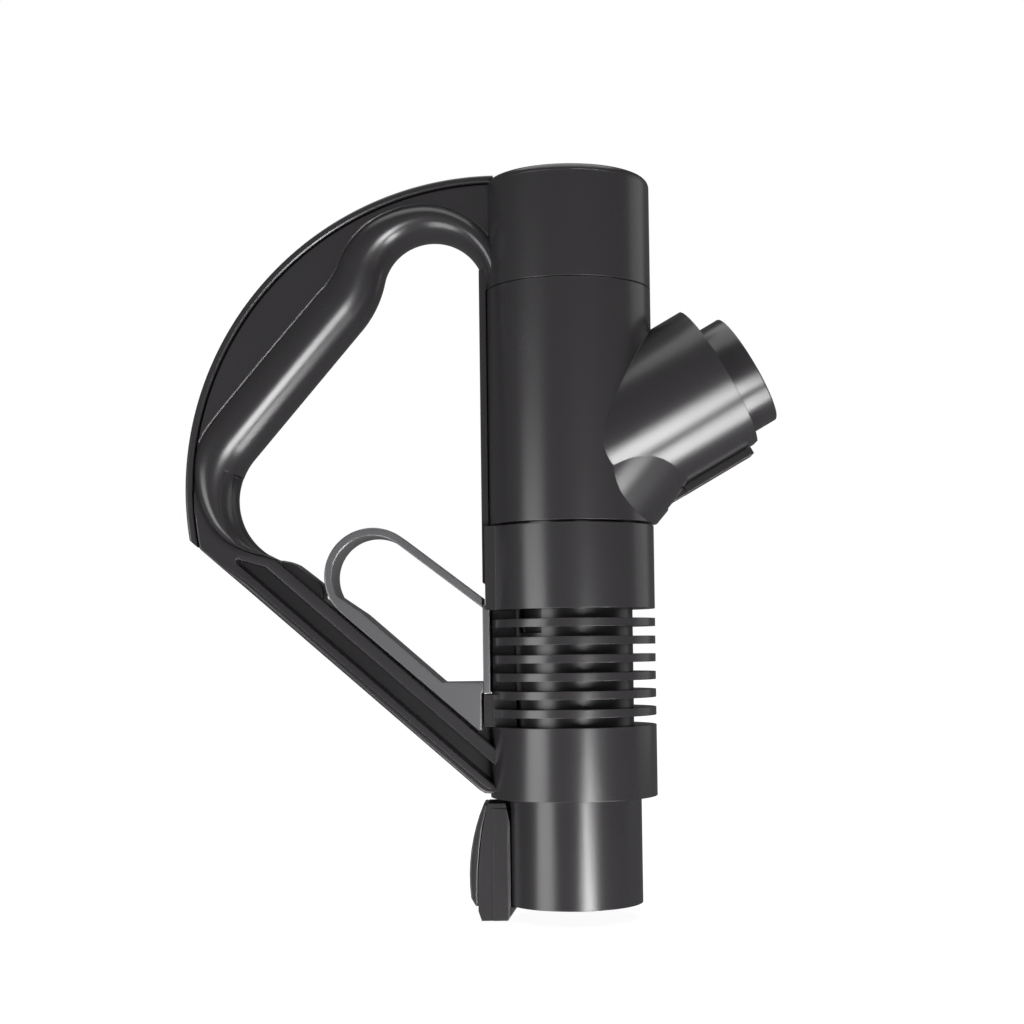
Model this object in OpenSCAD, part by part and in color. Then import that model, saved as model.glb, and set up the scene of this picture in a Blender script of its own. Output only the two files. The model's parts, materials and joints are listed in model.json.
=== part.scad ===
// Wand handle of a cylinder suction cleaner.
// A tube column carries a D-shaped grip on its left (-X) and a swivelling hose branch on its
// right (+X). The origin is the centre of the wand socket mouth, +Z runs up the column axis.
// All dimensions are in millimetres and all angles in degrees.

/* [Column] */
// Outer diameter of the collars and of the branch barrel
tube_d = 52; // [46:0.5:60]
// Outer diameter of the exposed wand socket
socket_d = 42; // [39:0.5:45]
// Diameter of the wand the socket takes
wand_d = 35; // [30:0.5:36]
// Outer diameter of the inner duct seen between the vent fins
duct_d = 38; // [36:0.5:40]
// Exposed length of the wand socket
socket_h = 33; // [28:0.5:40]
// Height of the collar above the wand socket
lower_collar_h = 22; // [18:0.5:28]
// Height of the collar above the vent fins
vent_collar_h = 25.7; // [20:0.1:32]
// Height of the swivelling barrel that carries the hose branch
barrel_h = 73.1; // [66:0.1:80]
// Height of the collar above the barrel
upper_collar_h = 32.1; // [26:0.1:38]
// Open joint below the swivelling barrel
swivel_gap = 0.8; // [0.5:0.1:1.2]
// Height of the top cap
cap_h = 4.5; // [3.5:0.1:6]
// Radius of the rounded edge of the top cap
cap_edge_r = 2.3; // [1.5:0.1:3]

/* [Vent] */
// Number of vent fins
fin_count = 6; // [4:1:8]
// Thickness of one fin
fin_t = 2.5; // [2:0.1:3]
// Open height between fins
fin_gap = 3; // [2.5:0.1:3.5]

/* [Hose branch] */
// Slope of the branch above the horizontal
branch_slope = 30; // [20:1:45]
// Height where the branch axis meets the column axis
branch_z = 135.9; // [130:0.1:142]
// Length of the branch from the column axis to its end face
branch_len = 54; // [48:0.5:60]
// Outer diameter of the branch casing
branch_d = 48; // [44:0.5:50]
// Outer diameter of the hose spigot
spigot_d = 36.3; // [34:0.1:38]
// Bore of the hose spigot
spigot_bore = 31; // [28:0.5:32]
// Length of spigot that stands out of the casing
spigot_out = 9.4; // [7:0.1:14]
// Distance of the spigot axis below the casing axis
spigot_drop = 2.2; // [0:0.1:3]

/* [Grip] */
// Outer radius of the curved spine
spine_r = 97; // [90:0.5:104]
// Thickness of the spine cover
spine_t = 2.1; // [1.6:0.1:3]
// Radius of the round part of the grip
grip_r = 10.5; // [9.5:0.1:12]
// Half thickness of the flat web between grip and spine
web_half = 9.2; // [8:0.1:10]
// Radius of the hand opening at the top bend
top_bend_r = 15.8; // [14:0.1:20]
// Radius of the finger stop
stop_bend_r = 34; // [28:0.5:40]
// Radius of the hand opening at the low bend
low_bend_r = 20.1; // [17:0.1:24]
// Length of the straight part of the grip
grip_len = 53.3; // [46:0.1:60]
// Slope of the straight part of the grip
grip_slope = 49.7; // [45:0.1:55]
// Slope of the strut between the grip and the lower collar
strut_slope = 41.4; // [38:0.1:45]
// Depth of the strut, square to its slope
strut_t = 13; // [10:0.1:15]

/* [Trigger] */
// Travel of the trigger and its valve sleeve
trigger_travel = 6; // [4:0.5:7]
// Outer radius of the rounded end of the trigger loop
loop_r = 15; // [13:0.1:17]
// Thickness of the trigger loop
loop_t = 2.5; // [2:0.1:3]
// Width of the trigger loop from front to rear
loop_w = 19.5; // [16:0.5:20]

/* [Wand catch] */
// Width of the catch lever from front to rear
catch_w = 17; // [14:0.5:20]
// Height of the catch pivot above the socket mouth
catch_pivot_z = 26; // [24:0.5:27]

/* [Output] */
// Sub-part to draw

/* [Hidden] */

$fn = 96;
eps = 0.01;
fit = 0.1;       // gap between fixed pieces that are assembled into each other
run = 0.3;       // gap between pieces that move on each other
pin_fit = 0.05;  // radial gap around a pin

body_colour = [0.23, 0.23, 0.25];
dark_colour = [0.10, 0.10, 0.11];
trigger_colour = [0.38, 0.38, 0.40];
rubber_colour = [0.05, 0.05, 0.05];
steel_colour = [0.62, 0.63, 0.65];

// Column
tube_r = tube_d / 2;
socket_r = socket_d / 2;
wand_r = wand_d / 2 + pin_fit;
duct_r = duct_d / 2;
duct_bore_r = duct_r - 1.7;
barrel_bore_r = tube_r - 3.85;
vent_z = socket_h + lower_collar_h;
fin_pitch = fin_t + fin_gap;
vent_h = fin_count * fin_pitch + fin_gap;
vent_collar_z = vent_z + vent_h;
barrel_z = vent_collar_z + vent_collar_h + swivel_gap;
upper_collar_z = barrel_z + barrel_h + run;
cap_z = upper_collar_z + upper_collar_h;
wand_stop_z = 31;        // depth of the bore that takes the wand
seal_h = 4;              // height of the wand seal above the stop
duct_z = 42;             // lower end of the inner duct, seated in the wand socket
bush_h = 8;              // height of the spigots the barrel turns on
bush_r = barrel_bore_r - run;

// Grip, as points in the X-Z plane
spine_c = [-21.9, 128.9];
frame_r = spine_r - spine_t - 0.5;
rail_depth = 2;          // depth of the tongue under the spine cover
rail_half = 4;           // half width of that tongue
top_bend_c = [-42, 191.7];
inflection = 168;        // angle where the top bend passes into the finger stop
grip_normal = 90 - grip_slope;
stop_bend_c = top_bend_c + (top_bend_r + stop_bend_r) * dir(inflection);
grip_top = stop_bend_c + stop_bend_r * dir(-grip_normal);
grip_low = grip_top + grip_len * dir(180 + grip_slope);
low_bend_c = grip_low + low_bend_r * dir(-grip_normal);
low_bend_end = 247;      // angle where the low bend runs into the strut
inlay_t = 3.8;           // depth of the inset pad
inlay_from = 159;
inlay_to = 238;
strut_half = 9.6;
strut_low = 7.5;         // distance of the strut's lower edge from the origin
strut_top = strut_low + strut_t;
strut_web_half = 2;
strut_flange_t = 4;
rear_block = 52;         // length of solid strut that holds the lower screws
tongue_t = 5;            // thickness of the tongues that join grip and collars
tongue_reach = 14;       // how far the upper tongue reaches out of its collar
tongue_z = 210.5;        // lower edge of the upper tongue
tongue_h = 8;
upper_screws = [[-29.8, 214.5], [-36.6, 214.5]];
lower_screws = [[-31, 46.6], [-36.5, 51.4]];
screw_r = 1.5;
screw_head_r = 2.6;
screw_head_h = 2;
screw_seat = 6.6;        // how far behind the middle plane the screw heads seat
screw_tip = 0.8;

// Trigger
loop_c = [-61.3, 101.9];
loop_inner_r = loop_r - loop_t;
loop_half = loop_w / 2;
upper_bar_slope = 37.6;
bar_low = strut_top + 0.7;      // distance of the lower bar from the origin
bar_t = 4.1;                    // depth of the lower bar
plate_x = -27.6;                // outer face of the slider plate
plate_t = 2.2;
plate_half = 9.5;
plate_low_z = 65.5;
plate_top_z = vent_collar_z + 1.6;
slot_half = plate_half + 1;     // half width of the channel the plate slides in
slot_x = plate_x + plate_t + run;
loop_floor_z = 68.9;            // floor of the loop's opening
loop_foot_z = 54;
loop_foot_gap = 0.5;            // how far the loop's foot stands back from the slider plate
guide_x = -30.6;                // outer face of the rib that guides the loop's foot
guide_half = 3;
guide_top_z = plate_low_z - 0.6;
cheek_y = 5.6;                  // inner face of the walls beside the slider's arm
cheek_t = 1.8;
arm_half = 3.6;
arm_z = 66;
arm_h = 10;
sleeve_r = duct_bore_r - run;
sleeve_bore_r = sleeve_r - 1.4;
sleeve_z = 57;
sleeve_top_z = 98;
window_z = 84;                  // lower edge of the bleed windows in the inner duct
window_h = 7.5;
window_w = 9.5;
window_angles = [-135, 135];
valve_window_h = 6;             // height of the matching windows in the valve sleeve
spring_x = -22.6;
spring_r = 2;
wire_d = 0.7;
spring_top_z = vent_collar_z + 2;

// Wand catch
catch_pivot_x = -24.2;
catch_half = catch_w / 2;
catch_pin_r = 1.2;
catch_pin_end = 7.3;     // how far the catch pin reaches into the front cheek
catch_lug_half = 4;
catch_cheek_y = 6.3;     // inner face of the lever's cheeks
catch_nose_z = 6;
catch_nose_half = 3;
catch_low_z = -4.4;
catch_top_z = 31.4;
catch_back_x = -30;
catch_back_r = 120;      // radius of the lever's outer face
catch_back_z = 4;        // height where that face stands upright
pad_x = -32.6;
pad_r = 57;
pad_z = 9;

// Hose branch, measured along its own axis from the column axis
spigot_r = spigot_d / 2;
spigot_bore_r = spigot_bore / 2;
spigot_neck_r = spigot_r - 0.4;
cavity_r = spigot_r + 2.4;
cavity_s = 40;
spigot_flange_t = 4;
retainer_s = branch_len - 4;
flare_s = 29.5;          // where the underside of the casing starts to flare towards the barrel
flare_slope = 20;
latch_pivot_s = 22;
latch_pivot_x = 23.8;
latch_pin_r = 1;
latch_pin_end = 6.8;
latch_half = 6;
latch_hub_half = 4.2;
blade_t = 2.4;
blade_x = 23.8;
blade_end_s = 51;

function dir(a) = [cos(a), sin(a)];

// Points of an arc, about every 4 degrees.
function arc(centre, r, from, to) =
  let (steps = ceil(abs(to - from) / 4))
    [for (i = [0:steps]) centre + r * dir(from + (to - from) * i / steps)];

// Places a 2-D outline drawn in the X-Z plane as a plate centred on Y = 0.
module plate(half) {
  rotate([90, 0, 0])
    linear_extrude(height = 2 * half, center = true)
      children();
}

// Tube bend in the X-Z plane.
module bend(centre, r, from, to, tube) {
  translate([centre[0], 0, centre[1]])
    rotate([90, 0, 0])
      rotate_extrude(angle = to - from, start = from)
        translate([r, 0])
          circle(r = tube);
}

// Ring or tube about the Z axis.
module ring(outer, inner, height) {
  difference() {
    cylinder(r = outer, h = height);
    translate([0, 0, -1])
      cylinder(r = inner, h = height + 2);
  }
}

// Cylinder along Y through a point of the X-Z plane.
module cross_pin(at, r, half) {
  translate([at[0], 0, at[1]])
    rotate([90, 0, 0])
      cylinder(r = r, h = 2 * half, center = true, $fn = 48);
}

// Frame whose X runs up the strut's slope and whose Y is square to it.
module strut_frame() {
  rotate(-strut_slope)
    children();
}

// Frame of the hose branch: Z along the casing axis, X to its underside.
module branch_frame() {
  translate([0, 0, branch_z])
    rotate([0, 90 - branch_slope, 0])
      children();
}

// Frame of the hose spigot, whose axis lies below the casing axis.
module spigot_frame() {
  branch_frame()
    translate([spigot_drop, 0, 0])
      children();
}

// Coil of square wire from z = 0 upwards.
module coil(r, height, turns) {
  pitch = height / turns;
  span = 360 * wire_d / pitch;
  outer = r + wire_d / 2;
  inner = r - wire_d / 2;
  steps = ceil(span / 24);
  linear_extrude(
    height = height - wire_d, twist = -360 * (height - wire_d) / pitch, slices = 16 * turns, $fn = 6
  )
    polygon(concat(
      [for (i = [0:steps]) outer * dir(span * i / steps)],
      [for (i = [steps:-1:0]) inner * dir(span * i / steps)]
    ));
}

// ---------- grip ----------

// Everything inside the spine cover and above the strut's lower edge, up to the column.
module grip_outline(r) {
  intersection() {
    translate(spine_c)
      circle(r = r, $fn = 240);
    strut_frame()
      translate([-200, strut_low])
        square([260, 300]);
    translate([-150, 0])
      square([150 - 20, 260]);
  }
}

// The hand opening, moved outwards by grow into the grip.
module hand_opening(grow) {
  difference() {
    polygon(concat(
      arc(top_bend_c, top_bend_r + grow, -20, inflection),
      arc(stop_bend_c, stop_bend_r - grow, inflection - 180, -grip_normal),
      arc(low_bend_c, low_bend_r + grow, 180 - grip_normal, low_bend_end),
      [[-20, 44]]
    ));
    strut_frame()
      translate([-200, strut_top - 100])
        square([260, 100]);
  }
}

module strut_outline() {
  intersection() {
    grip_outline(frame_r);
    strut_frame()
      translate([-200, 0])
        square([260, strut_top]);
  }
}

// Recess along a side of the strut, between its two flanges, stopping short of the column.
module strut_pocket(short) {
  low = strut_low + strut_flange_t;
  high = strut_top - strut_flange_t;
  strut_frame()
    polygon([[-146, low + 0.7], [-138.6, high], [-15 - short, high], [-15 - short, low], [-144.8, low]]);
}

// Low fairing on the strut, beside the end of the trigger loop.
module strut_fairing() {
  polygon([[-92, 107.8], [-87, 106.9], [-83.6, 104.9], [-78.2, 100.6], [-77, 97.4], [-77, 92], [-92, 102]]);
}

// Rib on the strut that guides the foot of the trigger loop, up to the vent grille.
module guide_rib() {
  polygon([[guide_x, 48], [guide_x, vent_z - fit], [-20, vent_z - fit], [-20, 40]]);
}

module grip_tube() {
  centre_r = top_bend_r + grip_r;
  bend(top_bend_c, centre_r, 22, inflection, grip_r);
  bend(stop_bend_c, stop_bend_r - grip_r, -grip_normal, inflection - 180, grip_r);
  translate([grip_top[0], 0, grip_top[1]])
    rotate([0, 180 + grip_normal, 0])
      translate([grip_r, 0, 0])
        cylinder(r = grip_r, h = grip_len);
  bend(low_bend_c, low_bend_r + grip_r, 180 - grip_normal, low_bend_end, grip_r);
}

// Cylinder along Y between two Y positions, through a point of the X-Z plane.
module rod(at, r, from, to) {
  translate([at[0], from, at[1]])
    rotate([-90, 0, 0])
      cylinder(r = r, h = to - from, $fn = 48);
}

// Tongue of the upper collar, or its slot in the grip when grown.
module upper_tongue(grow) {
  translate([-tube_r - tongue_reach - grow, -grow, tongue_z - grow])
    cube([tongue_reach + 3, tongue_t + 2 * grow, tongue_h + 2 * grow]);
}

// Tongue of the lower collar, or its slot in the strut when grown.
module lower_tongue(grow) {
  translate([0, tongue_t / 2, 0])
    plate(tongue_t / 2 + grow)
      intersection() {
        strut_frame()
          translate([-63 - grow, strut_low + strut_flange_t - grow])
            square([50, strut_t - 2 * strut_flange_t + 2 * grow]);
        translate([-80, 0])
          square([80 - tube_r + 3, 100]);
      }
}

module handle_frame() {
  color(body_colour)
    difference() {
      union() {
        plate(web_half)
          difference() {
            grip_outline(frame_r);
            hand_opening(6);
          }
        intersection() {
          plate(grip_r + 1)
            grip_outline(frame_r);
          grip_tube();
        }
        plate(strut_half)
          strut_outline();
        plate(5)
          strut_fairing();
        plate(guide_half)
          guide_rib();
      }
      translate([0, -strut_web_half - 10, 0])
        plate(10)
          strut_pocket(0);
      translate([0, strut_web_half + 10, 0])
        plate(10)
          strut_pocket(rear_block);
      plate(rail_half + fit)
        difference() {
          circle_at(spine_c, frame_r + 1);
          circle_at(spine_c, frame_r - rail_depth);
        }
      cylinder(r = tube_r + pin_fit, h = 240);
      upper_tongue(fit);
      lower_tongue(fit);
      inlay_seat(fit);
      for (at = concat(upper_screws, lower_screws)) {
        rod(at, screw_r + pin_fit, 0, 20);
        rod(at, screw_head_r + fit, screw_seat, 20);
      }
    }
}

module circle_at(centre, r) {
  translate(centre)
    circle(r = r, $fn = 240);
}

module spine_cover() {
  color(body_colour)
    difference() {
      union() {
        plate(strut_half + 0.4)
          difference() {
            grip_outline(spine_r);
            circle_at(spine_c, spine_r - spine_t);
          }
        plate(rail_half)
          difference() {
            grip_outline(spine_r - 1);
            circle_at(spine_c, frame_r - rail_depth + fit);
          }
      }
      cylinder(r = tube_r + pin_fit, h = 240);
      translate([-60, -20, 0])
        cube([60, 40, 100]);
    }
}

// Room for the inset pad on the inner side of the low bend.
module inlay_seat(grow) {
  turn = 3 * grow;
  intersection() {
    bend(low_bend_c, low_bend_r + grip_r, inlay_from - turn, inlay_to + turn, grip_r + 1);
    plate(grip_r + 2)
      circle_at(low_bend_c, low_bend_r + inlay_t + grow);
  }
}

module grip_inlay() {
  color(dark_colour)
    intersection() {
      inlay_seat(0);
      bend(low_bend_c, low_bend_r + grip_r, inlay_from - 5, inlay_to + 5, grip_r);
    }
}

module handle_screws() {
  color(steel_colour)
    for (at = concat(upper_screws, lower_screws)) {
      rod(at, screw_r, screw_tip, screw_seat + 1);
      difference() {
        rod(at, screw_head_r, screw_seat + eps, screw_seat + screw_head_h);
        translate([at[0], screw_seat + screw_head_h, at[1]])
          for (turn = [0, 90])
            rotate([0, turn, 0])
              cube([3.6, 2, 0.8], center = true);
      }
    }
}

// ---------- column ----------

module top_cap() {
  edge_r = tube_r - cap_edge_r;
  rise = cap_h - cap_edge_r;
  dome_r = (edge_r * edge_r + rise * rise) / (2 * rise);
  color(body_colour)
    translate([0, 0, cap_z]) {
      rotate_extrude() {
        intersection() {
          union() {
            square([edge_r, cap_h]);
            translate([edge_r, 0])
              circle(r = cap_edge_r);
          }
          translate([0, cap_h - dome_r])
            circle(r = dome_r, $fn = 720);
          square([tube_r, cap_h]);
        }
      }
      translate([0, 0, -5])
        ring(tube_r - 3 - fit, tube_r - 5, 5 + eps);
    }
}

module upper_collar() {
  wall_r = tube_r - 3;
  color(body_colour)
    difference() {
      union() {
        translate([0, 0, upper_collar_z])
          cylinder(r = tube_r, h = upper_collar_h);
        translate([0, 0, upper_collar_z - bush_h])
          cylinder(r = bush_r, h = bush_h + 1);
        upper_tongue(0);
      }
      translate([0, 0, upper_collar_z + 3])
        cylinder(r = wall_r, h = upper_collar_h);
      translate([0, 0, upper_collar_z - bush_h - 1])
        cylinder(r = bush_r - 3, h = bush_h + 1);
      translate([0, 0, upper_collar_z - bush_h + 2])
        seal_groove();
      translate([tube_r - 1.2, -2, upper_collar_z + 16.7])
        cube([3, 4, 7]);
      for (at = upper_screws)
        rod(at, screw_r + pin_fit, -1, 8);
    }
}

module seal_groove() {
  ring(bush_r + 1, bush_r - 1.2, 3);
}

module rear_rail() {
  rail_x = -tube_r - 1.6;
  color(body_colour)
    difference() {
      translate([rail_x, -7, vent_collar_z + 8.5])
        cube([6, 14, 197 - vent_collar_z - 8.5]);
      translate([0, 0, vent_collar_z])
        cylinder(r = tube_r + pin_fit, h = 120);
      translate([0, 0, barrel_z - swivel_gap - eps])
        cylinder(r = tube_r + run + pin_fit, h = barrel_h + swivel_gap + run);
      translate([-tube_r - 0.6 - pin_fit, -20, vent_collar_z])
        cube([10, 40, vent_collar_h]);
    }
}

module vent_collar() {
  color(body_colour)
    difference() {
      union() {
        translate([0, 0, vent_collar_z])
          cylinder(r = tube_r, h = vent_collar_h);
        translate([-tube_r - 0.6, -11.5, vent_collar_z])
          cube([10, 23, vent_collar_h]);
        translate([0, 0, vent_collar_z + vent_collar_h - 1])
          cylinder(r = bush_r, h = bush_h + 1);
      }
      translate([0, 0, vent_collar_z - 1])
        cylinder(r = duct_r + fit, h = 60);
      translate([slot_x - 10, -slot_half, vent_collar_z - 1])
        cube([10, 2 * slot_half, 9.5]);
      translate([spring_x, 0, vent_collar_z - 1])
        cylinder(r = spring_r + 0.8, h = spring_top_z - vent_collar_z + 1);
      translate([0, 0, vent_collar_z + vent_collar_h + 3.5])
        seal_groove();
    }
}

module swivel_seals() {
  color(rubber_colour)
    for (z = [upper_collar_z - bush_h + 2, vent_collar_z + vent_collar_h + 3.5])
      translate([0, 0, z + fit])
        ring(bush_r, bush_r - 1.2 + fit, 3 - 2 * fit);
}

// Stack of fins around the duct, joined by three posts and a foot under the slider plate.
module vent_grille() {
  color(body_colour)
    difference() {
      union() {
        for (i = [0:fin_count - 1])
          translate([0, 0, vent_z + fin_gap + i * fin_pitch])
            cylinder(r = tube_r, h = fin_t);
        translate([0, 0, vent_z + pin_fit])
          intersection() {
            cylinder(r = tube_r - 2, h = vent_h - 2 * pin_fit);
            for (a = [60, 105])
              rotate(a)
                translate([duct_r, -1.2, 0])
                  cube([6, 2.4, vent_h]);
          }
        translate([0, 0, vent_z + pin_fit])
          intersection() {
            cylinder(r = tube_r - 0.3, h = vent_h - 2 * pin_fit);
            translate([-tube_r, -cheek_y - cheek_t, 0])
              cube([tube_r - duct_r + 2, 2 * (cheek_y + cheek_t), vent_h]);
          }
        translate([plate_x + 0.2, -plate_half, vent_z + pin_fit])
          cube([10, 2 * plate_half, guide_top_z - vent_z - pin_fit]);
        translate([guide_x, -guide_half, vent_z + pin_fit])
          cube([10, 2 * guide_half, guide_top_z - vent_z - pin_fit]);
      }
      translate([0, 0, vent_z - 1])
        cylinder(r = duct_r + fit, h = vent_h + 2);
      translate([slot_x - 10, -slot_half, guide_top_z])
        cube([10, 2 * slot_half, 40]);
      translate([-30, -cheek_y, guide_top_z])
        cube([20, 2 * cheek_y, 40]);
    }
}

module lower_collar() {
  color(body_colour)
    difference() {
      union() {
        translate([0, 0, socket_h])
          cylinder(r = tube_r, h = lower_collar_h);
        lower_tongue(0);
      }
      translate([0, 0, socket_h - 1])
        cylinder(r = socket_r + fit, h = lower_collar_h - 3);
      translate([0, 0, socket_h])
        cylinder(r = duct_r + fit, h = lower_collar_h + 1);
      for (at = lower_screws)
        rod(at, screw_r + pin_fit, -1, 8);
    }
}

module wand_socket() {
  color(body_colour)
    difference() {
      union() {
        difference() {
          cylinder(r = socket_r, h = socket_h + lower_collar_h - 4 - fit);
          translate([0, 0, socket_h])
            ring(socket_r + 1, socket_r - eps, lower_collar_h);
        }
        translate([catch_pivot_x - 2, -catch_lug_half, catch_pivot_z - 2.4])
          cube([-catch_pivot_x + 2 - socket_r + 2, 2 * catch_lug_half, 4.8]);
      }
      translate([0, 0, -1])
        cylinder(r = wand_r, h = wand_stop_z + 1);
      translate([0, 0, wand_stop_z - eps])
        cylinder(r = wand_r + 1.2, h = seal_h);
      translate([0, 0, wand_stop_z])
        cylinder(r = sleeve_bore_r, h = 40);
      translate([0, 0, duct_z - fit])
        cylinder(r = duct_r + fit, h = 30);
      translate([-socket_r - 2, -catch_nose_half - 0.6, catch_nose_z - 3])
        cube([8, 2 * catch_nose_half + 1.2, 7]);
      cross_pin([catch_pivot_x, catch_pivot_z], catch_pin_r + pin_fit, 20);
    }
}

module socket_seal() {
  color(rubber_colour)
    translate([0, 0, wand_stop_z + fit])
      difference() {
        cylinder(r = wand_r + 1.1, h = seal_h - 2 * fit);
        translate([0, 0, -1])
          cylinder(r = sleeve_bore_r, h = seal_h + 2);
        translate([0, 0, -eps])
          cylinder(r1 = wand_r - 0.5, r2 = sleeve_bore_r, h = seal_h - 1.5);
      }
}

module inner_duct() {
  color(dark_colour)
    difference() {
      translate([0, 0, duct_z])
        cylinder(r = duct_r, h = barrel_z + bush_h - duct_z - 1);
      translate([0, 0, duct_z - 1])
        cylinder(r = duct_bore_r, h = 100);
      for (a = window_angles)
        rotate(a)
          translate([duct_r - 4, -window_w / 2, window_z])
            cube([8, window_w, window_h]);
      translate([-30, -arm_half - 0.6, arm_z - 0.6])
        cube([20, 2 * arm_half + 1.2, arm_h + trigger_travel + 1.2]);
    }
}

// ---------- hose branch ----------

module branch_housing() {
  color(body_colour)
    difference() {
      union() {
        translate([0, 0, barrel_z])
          cylinder(r = tube_r, h = barrel_h);
        intersection() {
          branch_frame() {
            cylinder(r = branch_d / 2, h = branch_len);
            translate([0, 0, flare_s])
              rotate([0, 180 - flare_slope, 0])
                cylinder(r = branch_d / 2 * cos(flare_slope), h = flare_s + 10);
          }
          translate([0, -50, barrel_z + eps])
            cube([100, 100, 100]);
        }
      }
      translate([0, 0, barrel_z - 10])
        cylinder(r = barrel_bore_r, h = barrel_h + 20);
      spigot_frame() {
        cylinder(r = spigot_bore_r, h = branch_len + 1);
        translate([0, 0, cavity_s])
          cylinder(r = cavity_r, h = branch_len);
      }
      branch_frame() {
        translate([blade_x - 0.4, -latch_half - 0.4, latch_pivot_s + 4])
          cube([10, 2 * latch_half + 0.8, 40]);
        translate([latch_pivot_x - 2.6, -latch_hub_half - run, latch_pivot_s - 2.6])
          cube([10, 2 * (latch_hub_half + run), 10]);
        rod([latch_pivot_x, latch_pivot_s], latch_pin_r + pin_fit, -latch_pin_end - fit, 20);
      }
    }
}

module spigot_retainer() {
  color(body_colour)
    spigot_frame()
      translate([0, 0, retainer_s])
        ring(cavity_r - fit, spigot_neck_r + run, branch_len - retainer_s - 0.5);
}

module spigot_seal() {
  color(rubber_colour)
    spigot_frame()
      translate([0, 0, cavity_s + spigot_flange_t + 1])
        ring(cavity_r - fit, spigot_neck_r + run, retainer_s - cavity_s - spigot_flange_t - 1 - fit);
}

module hose_spigot() {
  color(body_colour)
    spigot_frame()
      translate([0, 0, cavity_s + run])
        difference() {
          union() {
            cylinder(r = spigot_neck_r, h = branch_len - cavity_s);
            cylinder(r = cavity_r - run, h = spigot_flange_t);
            translate([0, 0, branch_len - cavity_s - run])
              cylinder(r = spigot_r, h = spigot_out);
          }
          translate([0, 0, -1])
            cylinder(r = spigot_bore_r, h = 60);
        }
}

module latch_pin() {
  color(steel_colour)
    branch_frame()
      rod([latch_pivot_x, latch_pivot_s], latch_pin_r, -latch_pin_end, latch_pin_end);
}

// Torsion spring beside the latch hub.
module latch_spring() {
  color(steel_colour)
    branch_frame()
      translate([latch_pivot_x, latch_hub_half - 1.9, latch_pivot_s])
        rotate([-90, 0, 0])
          coil(1.55, 1.9, 2);
}

module hose_latch() {
  color(dark_colour)
    branch_frame()
      difference() {
        union() {
          translate([blade_x, -latch_half, latch_pivot_s + 5])
            cube([blade_t, 2 * latch_half, blade_end_s - latch_pivot_s - 5]);
          translate([blade_x, -latch_hub_half, latch_pivot_s])
            cube([blade_t, 2 * latch_hub_half, 8]);
          cross_pin([latch_pivot_x, latch_pivot_s], 2.2, latch_hub_half);
        }
        cross_pin([latch_pivot_x, latch_pivot_s], latch_pin_r + pin_fit, 20);
        translate([latch_pivot_x, latch_hub_half - 2, latch_pivot_s])
          rotate([-90, 0, 0])
            ring(2.1, 1.1, 3);
      }
}

// ---------- trigger ----------

// Point on the upper bar's line, at distance r from the loop's centre, where it meets the plate.
function bar_end(r) =
  let (start = loop_c + r * dir(90 - upper_bar_slope))
    start + (plate_x - start[0]) / cos(upper_bar_slope) * dir(-upper_bar_slope);

// Point at height z on a line that runs parallel to the strut, off mm from the origin.
function strut_point(off, z) = [(off - z * cos(strut_slope)) / sin(strut_slope), z];

// Loop around the fingers: a round end, an upper bar, a lower bar along the strut and a foot.
module loop_outline() {
  low_end = 180 + 90 - strut_slope;
  polygon(concat(
    [bar_end(loop_r)],
    arc(loop_c, loop_r, 90 - upper_bar_slope, low_end),
    [
      strut_point(bar_low, loop_foot_z),
      [plate_x - loop_foot_gap, loop_foot_z],
      [plate_x - loop_foot_gap, plate_low_z],
      [plate_x, plate_low_z],
    ]
  ));
}

module loop_opening() {
  low_end = 180 + 90 - strut_slope;
  polygon(concat(
    [bar_end(loop_inner_r)],
    arc(loop_c, loop_inner_r, 90 - upper_bar_slope, low_end - 20),
    [
      strut_point(bar_low + bar_t, loop_c[1] - 11.5),
      strut_point(bar_low + bar_t, loop_floor_z),
      [plate_x, loop_floor_z],
    ]
  ));
}

module trigger_loop() {
  color(trigger_colour)
    difference() {
      plate(loop_half)
        difference() {
          loop_outline();
          loop_opening();
        }
      translate([guide_x - 0.4, -guide_half - run, 0])
        cube([10, 2 * (guide_half + run), plate_low_z]);
    }
}

module trigger_slider() {
  arm_x = plate_x + plate_t - eps;
  color(trigger_colour)
    difference() {
      union() {
        translate([plate_x + eps, -plate_half, plate_low_z])
          cube([plate_t, 2 * plate_half, plate_top_z - plate_low_z]);
        translate([arm_x, -arm_half, arm_z])
          cube([-arm_x - sleeve_r + 2, 2 * arm_half, arm_h]);
      }
      translate([0, 0, sleeve_z])
        cylinder(r = sleeve_r + pin_fit, h = 60);
    }
}

module valve_sleeve() {
  color(dark_colour)
    difference() {
      translate([0, 0, sleeve_z])
        cylinder(r = sleeve_r, h = sleeve_top_z - sleeve_z);
      translate([0, 0, sleeve_z - 1])
        cylinder(r = sleeve_bore_r, h = 60);
      for (a = window_angles)
        rotate(a)
          translate([sleeve_r - 4, -window_w / 2, window_z - valve_window_h - 0.5])
            cube([8, window_w, valve_window_h]);
      for (z = [sleeve_z + 2, sleeve_top_z - 4])
        translate([0, 0, z])
          ring(sleeve_r + 1, sleeve_r - 0.7, 2);
    }
}

module valve_seals() {
  color(rubber_colour)
    for (z = [sleeve_z + 2, sleeve_top_z - 4])
      translate([0, 0, z + pin_fit])
        ring(sleeve_r + 0.1, sleeve_r - 0.7 + pin_fit, 2 - 2 * pin_fit);
}

module trigger_spring() {
  color(steel_colour)
    translate([spring_x, 0, arm_z + arm_h + pin_fit])
      coil(spring_r, spring_top_z - arm_z - arm_h - 2 * pin_fit, 7);
}

// ---------- wand catch ----------

// Angle on an arc of radius r, centred at height mid, where it reaches height z on its -X side.
function arc_angle(r, mid, z) = 180 - asin((z - mid) / r);

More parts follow.
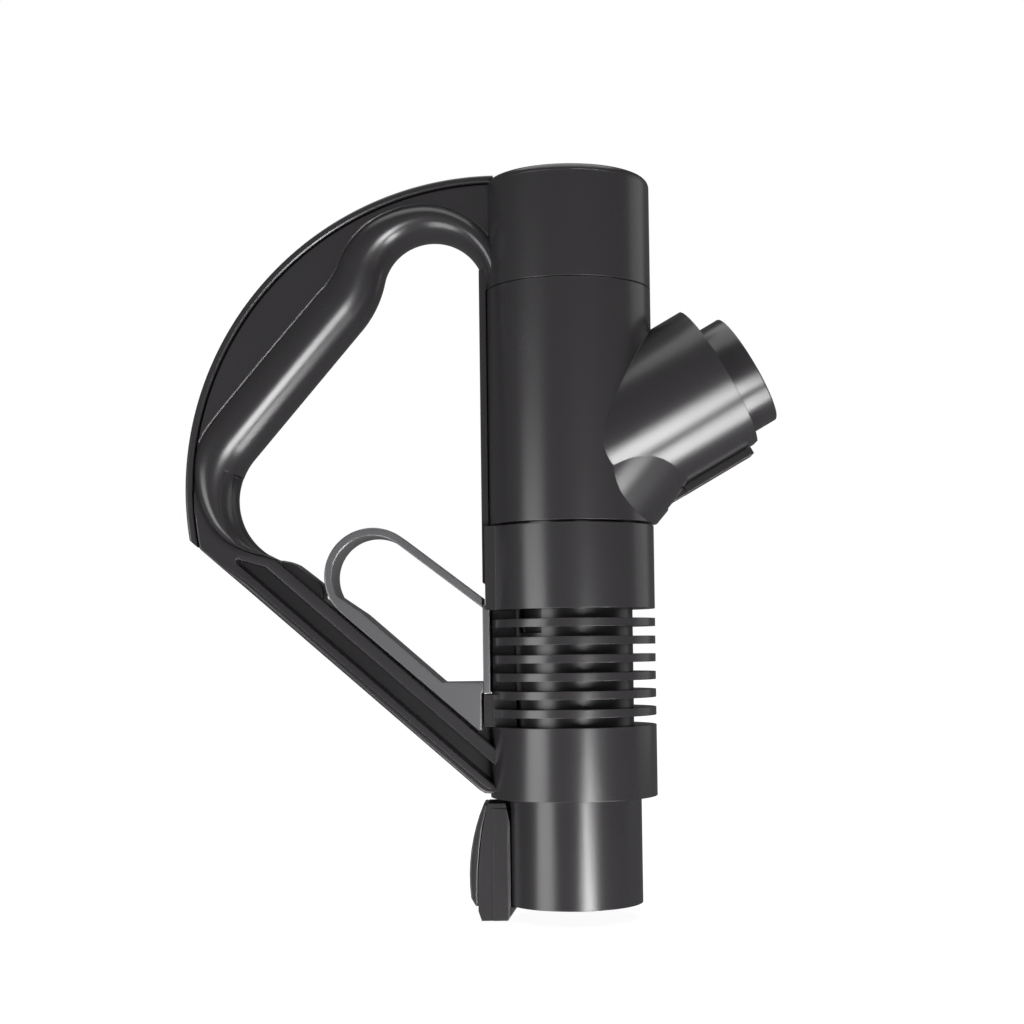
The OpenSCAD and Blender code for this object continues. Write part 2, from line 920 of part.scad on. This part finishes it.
module catch_profile() {
  polygon(concat(
    arc(
      [catch_back_x + catch_back_r, catch_back_z], catch_back_r,
      arc_angle(catch_back_r, catch_back_z, catch_top_z), 180
    ),
    [
      [catch_back_x, catch_low_z + 3],
      [catch_back_x + 1, catch_low_z],
      [-20.9, catch_low_z],
      [-18.3, -0.7],
      [-18.9, 1],
      [-18.9, catch_top_z],
    ]
  ));
}

module catch_lever() {
  lever_clear_r = socket_r + 0.6;
  color(body_colour)
    difference() {
      union() {
        plate(catch_half - 0.4)
          catch_profile();
        plate(catch_half)
          intersection() {
            catch_profile();
            translate([-25.3, catch_low_z])
              square([4.7, catch_top_z - 1.5 - catch_low_z]);
          }
        translate([-socket_r - 1, -catch_nose_half, catch_nose_z - 2])
          cube([2.6, 2 * catch_nose_half, 5]);
      }
      difference() {
        translate([0, 0, -run])
          cylinder(r = lever_clear_r, h = 50);
        translate([-socket_r - 2, -catch_nose_half, catch_nose_z - 2])
          cube([4.6, 2 * catch_nose_half, 5]);
      }
      translate([-lever_clear_r + 1.4, 0, catch_pivot_z])
        rotate([0, -12, 0])
          translate([0, -catch_half - 1, 0])
            cube([10, 2 * catch_half + 2, 30]);
      translate([catch_pivot_x - 2.7, -catch_cheek_y, catch_pivot_z - 4])
        cube([20, 2 * catch_cheek_y, 20]);
      rod([catch_pivot_x, catch_pivot_z], catch_pin_r + pin_fit, -catch_pin_end - fit, 20);
    }
}

// Crescent-shaped pad on the outside of the catch lever.
module catch_pad() {
  color(body_colour)
    plate(catch_half - 1)
      difference() {
        polygon(concat(
          arc(
            [pad_x + pad_r, pad_z], pad_r,
            arc_angle(pad_r, pad_z, catch_top_z), arc_angle(pad_r, pad_z, 2.5)
          ),
          [[-30.8, 0], [-24, 0], [-24, catch_top_z]]
        ));
        polygon(concat(
          arc(
            [catch_back_x + catch_back_r - pin_fit, catch_back_z], catch_back_r,
            arc_angle(catch_back_r, catch_back_z, catch_top_z + 2), 180
          ),
          [[catch_back_x - pin_fit, -2], [0, -2], [0, catch_top_z + 2]]
        ));
      }
}

module catch_pin() {
  color(steel_colour)
    rod([catch_pivot_x, catch_pivot_z], catch_pin_r, -catch_pin_end, catch_half - 0.8);
}

// Torsion spring on the catch pin, between its lug and the rear cheek of the lever.
module catch_spring() {
  color(steel_colour)
    translate([catch_pivot_x, catch_lug_half + fit, catch_pivot_z])
      rotate([-90, 0, 0])
        coil(1.9, catch_cheek_y - catch_lug_half - run, 2);
}

handle_frame();
spine_cover();
grip_inlay();
top_cap();
upper_collar();
rear_rail();
vent_collar();
vent_grille();
lower_collar();
wand_socket();
inner_duct();
socket_seal();
swivel_seals();
handle_screws();
branch_housing();
spigot_retainer();
spigot_seal();
latch_pin();
latch_spring();
hose_latch();
hose_spigot();
trigger_loop();
trigger_slider();
valve_sleeve();
valve_seals();
trigger_spring();
catch_lever();
catch_pad();
catch_pin();
catch_spring();
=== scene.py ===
"""Looks of a suction cleaner's wand handle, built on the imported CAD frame.

Lengths in this script are in millimetres until they reach a mesh, a light or the camera.
"""

import json
import math

import bmesh
import bpy
import numpy as np
from mathutils import Matrix, Vector


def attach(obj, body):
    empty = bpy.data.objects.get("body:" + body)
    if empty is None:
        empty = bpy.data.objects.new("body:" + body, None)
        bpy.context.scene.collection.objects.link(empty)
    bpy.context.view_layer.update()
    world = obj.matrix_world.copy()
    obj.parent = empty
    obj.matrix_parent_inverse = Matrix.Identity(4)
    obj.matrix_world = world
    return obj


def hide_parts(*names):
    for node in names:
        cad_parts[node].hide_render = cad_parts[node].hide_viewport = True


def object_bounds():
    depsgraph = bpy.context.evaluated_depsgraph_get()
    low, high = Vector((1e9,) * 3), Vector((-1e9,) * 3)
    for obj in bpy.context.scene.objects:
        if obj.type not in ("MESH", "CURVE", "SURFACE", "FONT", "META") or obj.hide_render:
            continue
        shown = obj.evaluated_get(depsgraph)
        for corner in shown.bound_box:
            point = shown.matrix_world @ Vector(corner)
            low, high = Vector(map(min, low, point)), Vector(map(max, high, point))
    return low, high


MM = 0.001

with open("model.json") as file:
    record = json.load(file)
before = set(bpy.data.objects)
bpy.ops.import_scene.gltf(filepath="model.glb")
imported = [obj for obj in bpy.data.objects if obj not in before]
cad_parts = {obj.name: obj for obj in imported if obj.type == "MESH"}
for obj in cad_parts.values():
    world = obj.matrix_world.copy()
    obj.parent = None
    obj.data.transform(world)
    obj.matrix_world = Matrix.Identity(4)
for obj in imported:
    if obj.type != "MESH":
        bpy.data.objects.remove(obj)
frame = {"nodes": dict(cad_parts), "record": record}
cad_low, cad_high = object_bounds()


# ---------- dimensions shared with the CAD source ----------

TUBE_R = 26.0
SPINE_CENTRE = np.array([-21.9, 128.9])
SPINE_R = 97.0
SPINE_T = 2.1
SPINE_SEAM = 0.5
FRAME_R = SPINE_R - SPINE_T - SPINE_SEAM
TOP_BEND = np.array([-42.0, 191.7])
TOP_BEND_R = 15.8
INFLECTION = 168.0
STOP_BEND_R = 34.0
LOW_BEND_R = 20.1
GRIP_LENGTH = 53.3
GRIP_SLOPE = 49.7
GRIP_NORMAL = 90 - GRIP_SLOPE
STRUT_SLOPE = 41.4
STRUT_LOW = 7.5
STRUT_TOP = 20.5
STRUT_FLANGE = 4.0
STRUT_WEB = 2.0
WEB_HALF = 9.2
STRUT_HALF = 9.6
COVER_HALF = 10.0
GRIP_PEAK = 11.3
INLAY_DEPTH = 3.8
INLAY_SINK = 0.5
INLAY_FROM = 159.0
INLAY_TO = 238.0
REAR_BLOCK = 52.0
BRANCH_SLOPE = 30.0
FAIRING_HALF = 5.0
FAIRING = [(-92.0, 107.4), (-89.5, 107.4), (-87.0, 106.9), (-85.2, 106.1), (-83.6, 104.9),
           (-78.2, 100.6), (-77.3, 99.2), (-77.0, 97.4), (-77.0, 92.0), (-92.0, 102.0)]
GUIDE_HALF = 3.0
GUIDE = [(-30.6, 48.0), (-30.6, 54.9), (-25.2, 54.9), (-25.2, 44.0)]
SCREWS = [(-29.8, 214.5), (-36.6, 214.5), (-31.0, 46.6), (-36.5, 51.4)]
SCREW_SEAT = 6.6
SCREW_HOLE_R = 2.7


def direction(angle):
    """Unit vector at an angle in degrees; angles may be an array."""
    turn = np.radians(angle)
    return np.stack([np.cos(turn), np.sin(turn)], axis=-1)


STRUT_UP = direction(90 - STRUT_SLOPE)
STRUT_ALONG = direction(-STRUT_SLOPE)
STOP_BEND = TOP_BEND + (TOP_BEND_R + STOP_BEND_R) * direction(INFLECTION)
GRIP_TOP = STOP_BEND + STOP_BEND_R * direction(-GRIP_NORMAL)
GRIP_LOW = GRIP_TOP + GRIP_LENGTH * direction(-GRIP_NORMAL - 90)
LOW_BEND = GRIP_LOW + LOW_BEND_R * direction(-GRIP_NORMAL)


# ---------- materials ----------


def node_material(name, colour, roughness, wear=0.0, grain=0.0, metallic=0.0, coat=0.0):
    """Procedural finish: faint cloudy wear in the gloss and a fine grain in the surface."""
    material = bpy.data.materials.new(name)
    material.use_nodes = True
    nodes = material.node_tree.nodes
    links = material.node_tree.links
    shader = nodes["Principled BSDF"]
    shader.inputs["Base Color"].default_value = (*colour, 1)
    shader.inputs["Metallic"].default_value = metallic
    shader.inputs["Coat Weight"].default_value = coat
    shader.inputs["Coat Roughness"].default_value = 0.12
    place = nodes.new("ShaderNodeTexCoord")
    cloud = nodes.new("ShaderNodeTexNoise")
    cloud.inputs["Scale"].default_value = 55
    cloud.inputs["Detail"].default_value = 6
    links.new(place.outputs["Object"], cloud.inputs["Vector"])
    gloss = nodes.new("ShaderNodeMapRange")
    gloss.inputs["From Min"].default_value = 0.2
    gloss.inputs["From Max"].default_value = 0.8
    gloss.inputs["To Min"].default_value = roughness
    gloss.inputs["To Max"].default_value = roughness + wear
    links.new(cloud.outputs["Fac"], gloss.inputs["Value"])
    links.new(gloss.outputs["Result"], shader.inputs["Roughness"])
    speckle = nodes.new("ShaderNodeTexNoise")
    speckle.inputs["Scale"].default_value = 2600
    speckle.inputs["Detail"].default_value = 2
    links.new(place.outputs["Object"], speckle.inputs["Vector"])
    rounding = nodes.new("ShaderNodeBevel")
    rounding.samples = 4
    rounding.inputs["Radius"].default_value = 0.35 * MM
    bump = nodes.new("ShaderNodeBump")
    bump.inputs["Strength"].default_value = grain
    bump.inputs["Distance"].default_value = 0.05 * MM
    links.new(speckle.outputs["Fac"], bump.inputs["Height"])
    links.new(rounding.outputs["Normal"], bump.inputs["Normal"])
    links.new(bump.outputs["Normal"], shader.inputs["Normal"])
    return material


BODY = node_material("body_plastic", (0.021, 0.0195, 0.021), 0.24, wear=0.04, grain=0.12)
DARK = node_material("dark_plastic", (0.011, 0.010, 0.011), 0.28, wear=0.04, grain=0.12)
TRIGGER = node_material("trigger_plastic", (0.15, 0.148, 0.154), 0.3, wear=0.04, grain=0.15,
                        metallic=0.6)
RUBBER = node_material("seal_rubber", (0.012, 0.012, 0.012), 0.7, wear=0.1, grain=0.4)
STEEL = node_material("spring_steel", (0.56, 0.57, 0.58), 0.25, wear=0.1, grain=0.1, metallic=1.0)
SLOT_MATERIAL = {"body": BODY, "dark": DARK, "trigger": TRIGGER, "rubber": RUBBER, "steel": STEEL}


# ---------- mesh helpers ----------


def make_piece(name, points, faces, body, slot, stands_for, sharp=35):
    """Mesh object from points in millimetres, riding on a body and standing for CAD nodes."""
    mesh = bpy.data.meshes.new(name)
    mesh.from_pydata((np.asarray(points) * MM).tolist(), [], faces)
    mesh.validate()
    piece = bpy.data.objects.new(name, mesh)
    bpy.context.scene.collection.objects.link(piece)
    clean(mesh)
    mesh.shade_smooth()
    mesh.set_sharp_from_angle(angle=math.radians(sharp))
    mesh.materials.append(SLOT_MATERIAL[slot])
    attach(piece, body)
    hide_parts(*stands_for)
    return piece


def clean(mesh):
    """Joins coincident points and makes the faces point outwards."""
    work = bmesh.new()
    work.from_mesh(mesh)
    bmesh.ops.remove_doubles(work, verts=work.verts, dist=0.004 * MM)
    bmesh.ops.dissolve_degenerate(work, edges=work.edges, dist=0.002 * MM)
    bmesh.ops.recalc_face_normals(work, faces=work.faces)
    work.to_mesh(mesh)
    work.free()


def loft(sections):
    """Closed skin through closed loops of points, each loop with the same number of points."""
    count, around = sections.shape[:2]
    points = sections.reshape(-1, 3)
    faces = []
    for i in range(count - 1):
        here = i * around
        beyond = here + around
        for k in range(around):
            m = (k + 1) % around
            faces.append((here + k, here + m, beyond + m, beyond + k))
    faces.append(tuple(range(around)))
    faces.append(tuple((count - 1) * around + k for k in range(around)))
    return points, faces


def prism(outline, half):
    """Closed plate between Y = -half and +half, from an outline in the X-Z plane."""
    front = [(x, -half, z) for x, z in outline]
    rear = [(x, half, z) for x, z in outline]
    count = len(outline)
    faces = [tuple(range(count)), tuple(range(2 * count - 1, count - 1, -1))]
    for i in range(count):
        j = (i + 1) % count
        faces.append((i, i + count, j + count, j))
    return front + rear, faces


def soften(piece, width, angle):
    """Rounds the edges of a piece that are sharper than an angle in degrees."""
    bevel = piece.modifiers.new("edges", "BEVEL")
    bevel.limit_method = "ANGLE"
    bevel.angle_limit = math.radians(angle)
    bevel.width = width * MM
    bevel.segments = 3
    bevel.harden_normals = True


def bore(piece, centre, radius, start, end):
    """Cuts a round hole along Y, between two Y positions, into a piece."""
    turns = np.linspace(0, 2 * math.pi, 40, endpoint=False)
    outline = [(centre[0] + radius * math.cos(t), centre[1] + radius * math.sin(t)) for t in turns]
    points, faces = prism(outline, (end - start) / 2)
    points = np.array(points) + (0, (start + end) / 2, 0)
    mesh = bpy.data.meshes.new("cutter")
    mesh.from_pydata((points * MM).tolist(), [], faces)
    cutter = bpy.data.objects.new("cutter", mesh)
    bpy.context.scene.collection.objects.link(cutter)
    cut = piece.modifiers.new("hole", "BOOLEAN")
    cut.operation = "DIFFERENCE"
    cut.solver = "EXACT"
    cut.object = cutter
    graph = bpy.context.evaluated_depsgraph_get()
    made = bpy.data.meshes.new_from_object(piece.evaluated_get(graph))
    piece.modifiers.remove(cut)
    piece.data = made
    bpy.data.objects.remove(cutter)


# ---------- grip, web and strut as one loft ----------


def contour():
    """Stations along the hand opening: point, outward direction, and a key that counts
    0-1 over the top bend, 1-2 finger stop, 2-3 straight grip, 3-4 low bend, 4-5 strut.
    The first stations, with keys below 0, lie inside the column."""
    rows = []

    def add(key, point, out):
        rows.append((key, *point, *out))

    top = np.linspace(3, INFLECTION, 78)
    for angle in top:
        add((angle - 20) / (INFLECTION - 20), TOP_BEND + TOP_BEND_R * direction(angle),
            direction(angle))
    for angle in np.linspace(INFLECTION - 180, -GRIP_NORMAL, 20)[1:]:
        key = 1 + (angle - INFLECTION + 180) / (-GRIP_NORMAL - INFLECTION + 180)
        add(key, STOP_BEND + STOP_BEND_R * direction(angle), -direction(angle))
    for share in np.linspace(0, 1, 24)[1:]:
        add(2 + share, GRIP_TOP + (GRIP_LOW - GRIP_TOP) * share, -direction(-GRIP_NORMAL))
    start = 180 - GRIP_NORMAL
    height = LOW_BEND @ STRUT_UP - STRUT_TOP
    end = 360 - STRUT_SLOPE - math.degrees(math.asin(height / LOW_BEND_R))
    angles = np.concatenate([np.linspace(start, end, 110)[1:],
                             [INLAY_FROM - 0.5, INLAY_FROM, INLAY_TO, INLAY_TO + 0.5]])
    for angle in np.sort(angles):
        low_out = 180 + 90 - STRUT_SLOPE
        out = angle if angle < 200 else 200 + (low_out - 200) * (angle - 200) / (end - 200)
        add(3 + (angle - start) / (end - start), LOW_BEND + LOW_BEND_R * direction(angle),
            direction(out))
    corner = LOW_BEND + LOW_BEND_R * direction(end)
    reach = (-16 - corner[0]) / STRUT_ALONG[0]
    block = -67 - corner @ STRUT_ALONG
    steps = np.sort(np.concatenate([np.linspace(0, reach, 50)[1:], [block - 0.1, block + 0.1]]))
    for step in steps:
        add(4 + step / reach, corner + STRUT_ALONG * step, -STRUT_UP)
    return np.array(rows)


def low_key(angle):
    """Key of an angle on the low bend."""
    start = 180 - GRIP_NORMAL
    height = LOW_BEND @ STRUT_UP - STRUT_TOP
    end = 360 - STRUT_SLOPE - math.degrees(math.asin(height / LOW_BEND_R))
    return 3 + (angle - start) / (end - start)


def ray_to_circle(point, out, radius):
    """Distance along out from a point inside the spine circle to the circle of that radius."""
    arm = point - SPINE_CENTRE
    along = arm @ out
    return -along + math.sqrt(along * along - arm @ arm + radius * radius)


def reach_of(point, out):
    """How far a station's line runs before the spine seam, the strut's edge or the column."""
    limits = [ray_to_circle(point, out, FRAME_R)]
    fall = -(out @ STRUT_UP)
    if fall > 1e-6:
        limits.append((point @ STRUT_UP - STRUT_LOW) / fall)
    if out[0] > 1e-6:
        limits.append((-22.8 - point[0]) / out[0])
    return max(min(limits), 0.05)


POCKET = [(-149.0, 12.4), (-140.6, STRUT_TOP - STRUT_FLANGE), (0.0, STRUT_TOP - STRUT_FLANGE),
          (0.0, STRUT_LOW + STRUT_FLANGE), (-147.5, STRUT_LOW + STRUT_FLANGE)]


def pocket_span(point, out):
    """Where a station's line enters and leaves the strut's pocket, or None."""
    corners = [u * STRUT_ALONG + v * STRUT_UP for u, v in POCKET]
    hits = []
    for a, b in zip(corners, corners[1:] + corners[:1]):
        edge = b - a
        cross = out[0] * edge[1] - out[1] * edge[0]
        if abs(cross) < 1e-9:
            continue
        gap = a - point
        along = (gap[0] * edge[1] - gap[1] * edge[0]) / cross
        share = (gap[0] * out[1] - gap[1] * out[0]) / cross
        if -1e-9 <= share <= 1 + 1e-9 and along > 0:
            hits.append(along)
    if len(hits) < 2:
        return None
    return min(hits), max(hits)


# Key of a station, and distance of the crease from the hand opening there.
CREASE = np.array([
    (0.0, 7.0), (0.15, 7.5), (0.3, 8.2), (0.47, 9.6), (0.61, 10.4), (0.85, 13.1), (1.0, 14.3),
    (1.42, 15.2), (2.0, 15.9), (2.5, 16.1), (3.0, 15.9), (low_key(155), 15.0),
    (low_key(168), 13.1), (low_key(181), 10.9), (low_key(194), 8.8), (low_key(209), 6.3),
    (low_key(221), 3.9), (low_key(231), 2.0), (low_key(240), 0.6), (4.0, 0.02), (5.0, 0.02),
])


def crease_at(key):
    """Distance of the crease from the hand opening, averaged over a short stretch."""
    spread = 0.08 if key < 3.6 else 0.0
    near = np.linspace(key - spread, key + spread, 9)
    return float(np.mean(np.interp(near, CREASE[:, 0], CREASE[:, 1])))


def smooth_step(value, low, high):
    """Rises smoothly from 0 to 1 as a value passes from low to high."""
    share = min(max((value - low) / (high - low), 0.0), 1.0)
    return share * share * (3 - 2 * share)


def section(key, point, out, rear):
    """Half profile at one station: distances along its line and half widths across Y."""
    reach = reach_of(point, out)
    crease = crease_at(key)
    lower = smooth_step(key, low_key(150), low_key(175))
    face = WEB_HALF + (STRUT_HALF - WEB_HALF) * lower
    roll = 0.6 + 1.9 * lower * (1 - smooth_step(key, low_key(222), low_key(240)))
    dip = 0.25 + 0.75 * lower
    peak = GRIP_PEAK - 1.2 * smooth_step(key, low_key(150), 4.0)
    floor_y = face - dip
    half_long = crease / (1 + math.sqrt(1 - (floor_y / peak) ** 2))
    grip_end = min(crease, reach)

    def grip_y(t):
        share = (t - half_long) / half_long
        return peak * math.sqrt(max(1 - share * share, 0.0))

    end_turn = math.acos(max(-1.0, min(1.0, 1 - grip_end / half_long)))
    inlay_end = min(INLAY_DEPTH, grip_end * 0.8)
    turn_inlay = math.acos(1 - min(inlay_end / half_long, 2.0))
    turns = np.concatenate([np.linspace(0, turn_inlay, 12), np.linspace(turn_inlay, end_turn, 22)])
    in_inlay = low_key(INLAY_FROM) <= key <= low_key(INLAY_TO)
    line = []
    for i, turn in enumerate(turns):
        t = half_long * (1 - math.cos(turn))
        y = grip_y(t)
        if in_inlay and i < 12:
            t += INLAY_SINK * math.cos(turn)
            y -= INLAY_SINK * math.sin(turn)
        line.append((t, max(y, 0.0)))
    inner_end = line[-1][0]
    for share in np.linspace(0, 1, 7)[1:]:
        t = inner_end + (roll * share)
        line.append((t, floor_y + dip * math.sqrt(1 - (1 - share) ** 2)))
    span = pocket_span(point, out)
    depth = STRUT_WEB
    if span is None or span[1] - span[0] < 0.2 or reach < 8:
        middle = max(0.5 * reach, line[-1][0] + 0.1)
        span = (middle, middle)
        depth = face
    if rear and point @ STRUT_ALONG > -15 - REAR_BLOCK:
        depth = face
    rim = 0.35 if depth < face else 0.0
    line += [(span[0] - rim, face), (span[0] - rim * 0.3, face - rim * 0.3), (span[0], face - rim),
             (span[0] + rim, depth), (span[1] - rim, depth),
             (span[1], face - rim), (span[1] + rim * 0.3, face - rim * 0.3),
             (span[1] + rim, face)]
    lip = 0.15 if key > 3.8 else 0.0
    edge = 0.5 + 0.8 * smooth_step(key, low_key(225), low_key(245))
    line += [(reach - edge - 0.7, face), (reach - edge - 0.6, face - lip),
             (reach - edge - 0.35, face - lip), (reach - edge - 0.25, face)]
    line += [(reach - edge + edge * math.sin(turn), face - edge + edge * math.cos(turn))
             for turn in np.linspace(0, math.pi / 2, 6)]
    if inner_end >= reach - 0.6:
        held = grip_y(min(grip_end, reach))
        line = [(min(t, reach), y if t < reach else held) for t, y in line[:34]] + [
            (reach, held)] * (len(line) - 34)
    ordered = []
    furthest = 0.0
    for i, (t, y) in enumerate(line):
        if i >= 12:
            t = max(t, furthest)
        furthest = max(furthest, t)
        ordered.append((min(t, reach), y))
    return ordered


def frame_sections(rows):
    """Closed outline across the grip at every station, front side first."""
    loops = []
    for key, x, z, out_x, out_z in rows:
        point = np.array([x, z])
        out = np.array([out_x, out_z])
        front = section(key, point, out, rear=False)
        rear = section(key, point, out, rear=True)
        loop = [(*(point + out * t), -y) for t, y in front]
        loop += [(*(point + out * t), y) for t, y in reversed(rear)]
        loops.append([end_at_column(np.array([px, pz]), y) for px, pz, y in loop])
    return np.array(loops)


def end_at_column(point, y):
    """Moves a point that lies inside the column back along the strut to just under its skin."""
    limit = -math.sqrt((TUBE_R - 0.6) ** 2 - y * y)
    if point[0] > limit and point[1] < 80:
        point = point + STRUT_ALONG * (limit - point[0]) / STRUT_ALONG[0]
    return point[0], y, point[1]


def build_frame():
    """Grip, web and strut, with the screw holes in the rear, the fairing and the guide rib."""
    points, faces = loft(frame_sections(contour()))
    shell = make_piece("handle_shell", points, faces, "handle", "body", ["handle_frame"], sharp=40)
    for screw in SCREWS:
        bore(shell, screw, SCREW_HOLE_R, SCREW_SEAT, 20)
    points, faces = prism(FAIRING, FAIRING_HALF)
    rib = make_piece("strut_fairing", points, faces, "handle", "body", ["handle_frame"])
    soften(rib, 0.8, angle=50)
    points, faces = prism(GUIDE, GUIDE_HALF)
    make_piece("loop_guide", points, faces, "handle", "body", ["handle_frame"])


build_frame()


# ---------- spine cover ----------


def build_spine_cover():
    """Band around the spine, with rounded outer edges, ending along the strut's lower edge."""
    inner = SPINE_R - SPINE_T
    edge = 0.8
    profile = [(inner, -COVER_HALF + 0.3), (inner + 0.3, -COVER_HALF)]
    for turn in np.linspace(0, 90, 6):
        profile.append((SPINE_R - edge + edge * math.sin(math.radians(turn)),
                        -COVER_HALF + edge - edge * math.cos(math.radians(turn))))
    profile += [(r, -y) for r, y in reversed(profile)]

    def tip_angle(radius):
        low, high = 170.0, 200.0
        for _ in range(40):
            middle = (low + high) / 2
            if (SPINE_CENTRE + radius * direction(middle)) @ STRUT_UP > STRUT_LOW:
                low = middle
            else:
                high = middle
        return low

    loops = []
    for share in np.linspace(0, 1, 120):
        loop = []
        for radius, y in profile:
            angle = 90.5 + (tip_angle(radius) - 90.5) * share
            x, z = SPINE_CENTRE + radius * direction(angle)
            loop.append((x, y, z))
        loops.append(loop)
    points, faces = loft(np.array(loops))
    make_piece("spine_band", points, faces, "handle", "body", ["spine_cover"])


build_spine_cover()


# ---------- CAD pieces shown as they are, with softened edges ----------

EDGE_WIDTH = {
    "top_cap": 0.3, "upper_collar": 0.45, "rear_rail": 0.4, "vent_collar": 0.45,
    "vent_grille": 0.3, "lower_collar": 0.45, "wand_socket": 0.6, "inner_duct": 0.3,
    "spigot_retainer": 0.3, "hose_spigot": 0.5, "hose_latch": 0.25,
    "trigger_loop": 0.7, "trigger_slider": 0.3, "catch_lever": 0.5, "catch_pad": 0.5,
}
node_slots = {row["node"]: row["material_slot"] for row in frame["record"]["subparts"]}
for name, node in frame["nodes"].items():
    slot_name = node_slots[name]
    node.data.materials.clear()
    node.data.materials.append(SLOT_MATERIAL[slot_name])
    if node.hide_render:
        continue
    node.data.shade_smooth()
    weld = node.modifiers.new("weld", "WELD")
    weld.merge_threshold = 0.002 * MM
    if name in EDGE_WIDTH:
        soften(node, EDGE_WIDTH[name], angle=35)
    elif name == "branch_housing":
        creases = node.modifiers.new("creases", "EDGE_SPLIT")
        creases.split_angle = math.radians(11)
    normals = node.modifiers.new("normals", "WEIGHTED_NORMAL")
    normals.keep_sharp = True


# ---------- stage, light and camera ----------


def floor_material():
    """White floor that mostly glows evenly, so that the part throws only a faint shadow."""
    material = bpy.data.materials.new("pale_floor")
    material.use_nodes = True
    shader = material.node_tree.nodes["Principled BSDF"]
    shader.inputs["Base Color"].default_value = (0.15, 0.15, 0.15, 1)
    shader.inputs["Roughness"].default_value = 1
    shader.inputs["Specular IOR Level"].default_value = 0
    shader.inputs["Emission Color"].default_value = (1, 1, 1, 1)
    shader.inputs["Emission Strength"].default_value = 0.95
    return material


bpy.ops.mesh.primitive_plane_add(size=12, location=(0, 0, cad_low.z - 0.0005))
floor = bpy.context.object
floor.name = "floor"
floor.data.materials.append(floor_material())
floor.visible_diffuse = False
floor.visible_glossy = False
floor.visible_shadow = False


def studio_world(backdrop, room):
    """White backdrop behind the object, and a dimmer even room that lights and reflects in it."""
    world = bpy.data.worlds.new("studio")
    world.use_nodes = True
    nodes = world.node_tree.nodes
    links = world.node_tree.links
    lit = nodes["Background"]
    lit.inputs["Color"].default_value = (1, 1, 1, 1)
    lit.inputs["Strength"].default_value = room
    seen = nodes.new("ShaderNodeBackground")
    seen.inputs["Color"].default_value = (1, 1, 1, 1)
    seen.inputs["Strength"].default_value = backdrop
    path = nodes.new("ShaderNodeLightPath")
    choice = nodes.new("ShaderNodeMixShader")
    links.new(path.outputs["Is Camera Ray"], choice.inputs["Fac"])
    links.new(lit.outputs["Background"], choice.inputs[1])
    links.new(seen.outputs["Background"], choice.inputs[2])
    links.new(choice.outputs["Shader"], nodes["World Output"].inputs["Surface"])
    bpy.context.scene.world = world


studio_world(backdrop=1.0, room=0.12)
bpy.context.scene.view_settings.view_transform = "Standard"


def softbox(name, target, toward, distance, width, height, radiance, along=(0, 0, 1)):
    """Area light seen from a target in a given direction; its height runs near an axis.
    Lengths are in metres, and the power follows from the radiance of its face."""
    light = bpy.data.lights.new(name, "AREA")
    light.shape = "RECTANGLE"
    light.size = width
    light.size_y = height
    light.energy = radiance * math.pi * width * height
    lamp = bpy.data.objects.new(name, light)
    bpy.context.scene.collection.objects.link(lamp)
    back = Vector(toward).normalized()
    lamp.location = Vector(target) + back * distance
    side = Vector(along).cross(back).normalized()
    lamp.rotation_mode = "QUATERNION"
    lamp.rotation_quaternion = Matrix((side, back.cross(side), back)).transposed().to_quaternion()
    lamp.visible_camera = False


def in_plane(slope):
    """Direction in the X-Z plane that rises at an angle in degrees."""
    x, z = direction(slope)
    return x, 0, z


GRIP_AXIS = in_plane(GRIP_SLOPE)
BRANCH_AXIS = in_plane(BRANCH_SLOPE)
softbox("key_left", (0, 0, 0.11), (-0.77, -0.61, -0.18), 1.5, 0.8, 0.85, 5.5)
softbox("grip_strip", (-0.089, 0, 0.163), (0.45, -0.80, -0.40), 0.8, 0.32, 0.2, 26, GRIP_AXIS)
softbox("low_right", (0.036, -0.02, 0.14), (0.56, -0.34, -0.75), 1.2, 0.55, 0.3, 22, BRANCH_AXIS)
softbox("underneath", (-0.06, 0, 0.06), (-0.38, -0.22, -0.9), 1.2, 0.9, 0.7, 7, (1, 0, 0))
softbox("side_fill", (0, 0, 0.11), (0.9, 0.4, 0.2), 1.7, 1.0, 1.0, 0.7)

sun = bpy.data.lights.new("overhead", "SUN")
sun.energy = 2.2
sun.angle = math.radians(70)
overhead = bpy.data.objects.new("overhead", sun)
bpy.context.scene.collection.objects.link(overhead)

CAMERA_AT = (-3.3, -541.0, 79.4)
YAW = -0.3
PITCH = 1.82
ROLL = -0.78
FOCAL_PIXELS = 1727.0
IMAGE_PIXELS = 1024.0
SHIFT_X = -40.0 / IMAGE_PIXELS
SHIFT_Y = 80.0 / IMAGE_PIXELS
SENSOR = 36.0

lens = bpy.data.cameras.new("camera")
lens.sensor_width = SENSOR
lens.lens = FOCAL_PIXELS / IMAGE_PIXELS * SENSOR
lens.shift_x = SHIFT_X
lens.shift_y = SHIFT_Y
lens.clip_start = 0.01
lens.clip_end = 50
camera = bpy.data.objects.new("camera", lens)
bpy.context.scene.collection.objects.link(camera)
camera.location = Vector(CAMERA_AT) * MM
yaw, pitch, roll = (math.radians(a) for a in (YAW, PITCH, ROLL))
level_forward = Vector((math.sin(yaw), math.cos(yaw), 0))
forward = math.cos(pitch) * level_forward + math.sin(pitch) * Vector((0, 0, 1))
level_right = Vector((math.cos(yaw), -math.sin(yaw), 0))
level_up = level_right.cross(forward)
right = math.cos(roll) * level_right + math.sin(roll) * level_up
up = -math.sin(roll) * level_right + math.cos(roll) * level_up
camera.rotation_mode = "QUATERNION"
camera.rotation_quaternion = Matrix((right, up, -forward)).transposed().to_quaternion()
bpy.context.scene.camera = camera
